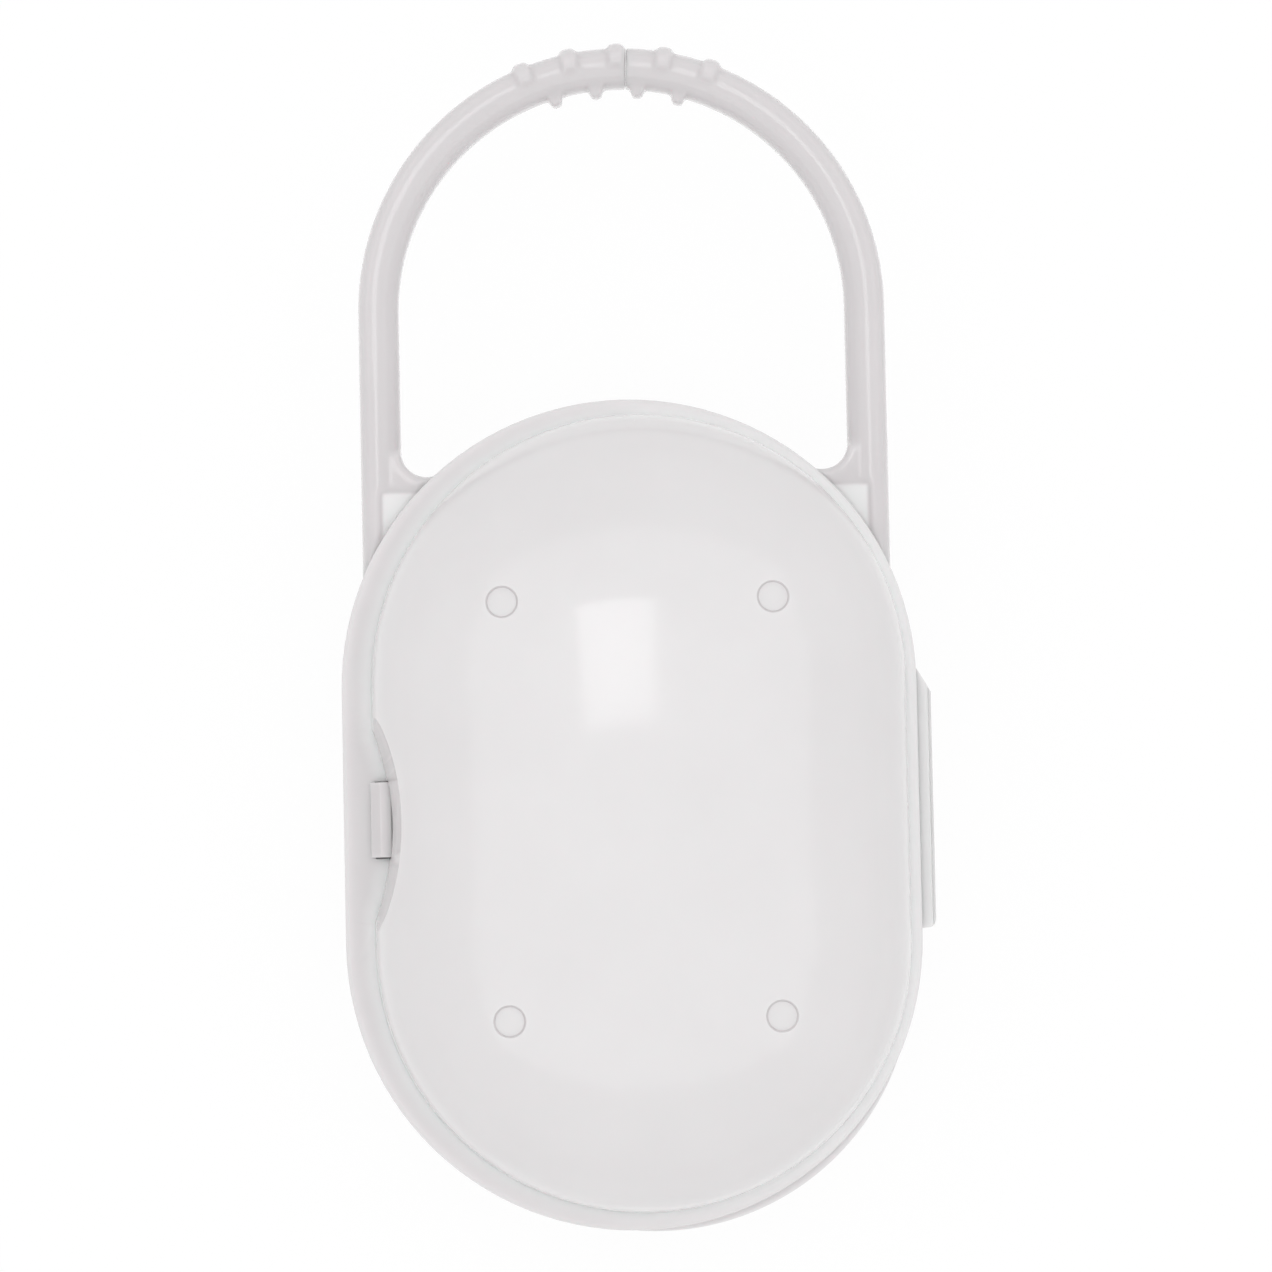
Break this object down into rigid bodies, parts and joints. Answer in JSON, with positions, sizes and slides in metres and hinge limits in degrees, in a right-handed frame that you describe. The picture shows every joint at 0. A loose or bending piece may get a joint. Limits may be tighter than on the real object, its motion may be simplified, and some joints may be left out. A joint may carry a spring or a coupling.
{
  "type": "pacifier sterilizer case",
  "caption": "Oblong domed clamshell case of milky plastic for pacifiers, with a split carrying loop, side living hinge and thumb-scoop latch.",
  "frame": {"origin": "middle of the flat floor under the rear shell, on which the closed case lies", "axes": "+Z out of the front cover, +Y towards the carrying loop, +X towards the hinge, -X towards the latch"},
  "size_m": [0.0719, 0.146, 0.052],
  "materials": {
    "shell": "thin milky polypropylene, faint gloss",
    "hinge": "milky polypropylene, flexed strip",
    "latch": "milky polypropylene, springy tongue",
    "handle": "thick milky polypropylene, satin",
    "rack": "milky polypropylene, matt"
  },
  "bodies": {
    "case": {"rear_shell": "shell", "rear_hinge_leaf": "hinge", "handle_left_root": "handle", "handle_right_root": "handle", "pacifier_rack": "rack"},
    "cover": {"front_cover": "shell", "cover_hinge_leaf": "hinge"},
    "latch": {"latch_tongue": "latch"},
    "left_arm": {"handle_left_arm": "handle"},
    "right_arm": {"handle_right_arm": "handle"}
  },
  "joints": [
    {"name": "cover_hinge", "type": "hinge", "parent": "case", "child": "cover", "pos_m": [0.0365, 0.0012, 0.026], "axis": [0, 1, 0], "range_deg": [0, 180]},
    {"name": "latch_flex", "type": "hinge", "parent": "case", "child": "latch", "pos_m": [-0.03025, -0.00025, 0.0196], "axis": [0, 1, 0], "range_deg": [0, 3], "stiffness_Nm_per_rad": 0.001},
    {"name": "left_arm_flex", "type": "hinge", "parent": "case", "child": "left_arm", "pos_m": [-0.02995, 0.048, 0.0232], "axis": [0, 0, 1], "range_deg": [0, 9], "stiffness_Nm_per_rad": 0.3},
    {"name": "right_arm_flex", "type": "hinge", "parent": "case", "child": "right_arm", "pos_m": [0.02995, 0.048, 0.0232], "axis": [0, 0, -1], "range_deg": [0, 9], "stiffness_Nm_per_rad": 0.3}
  ]
}
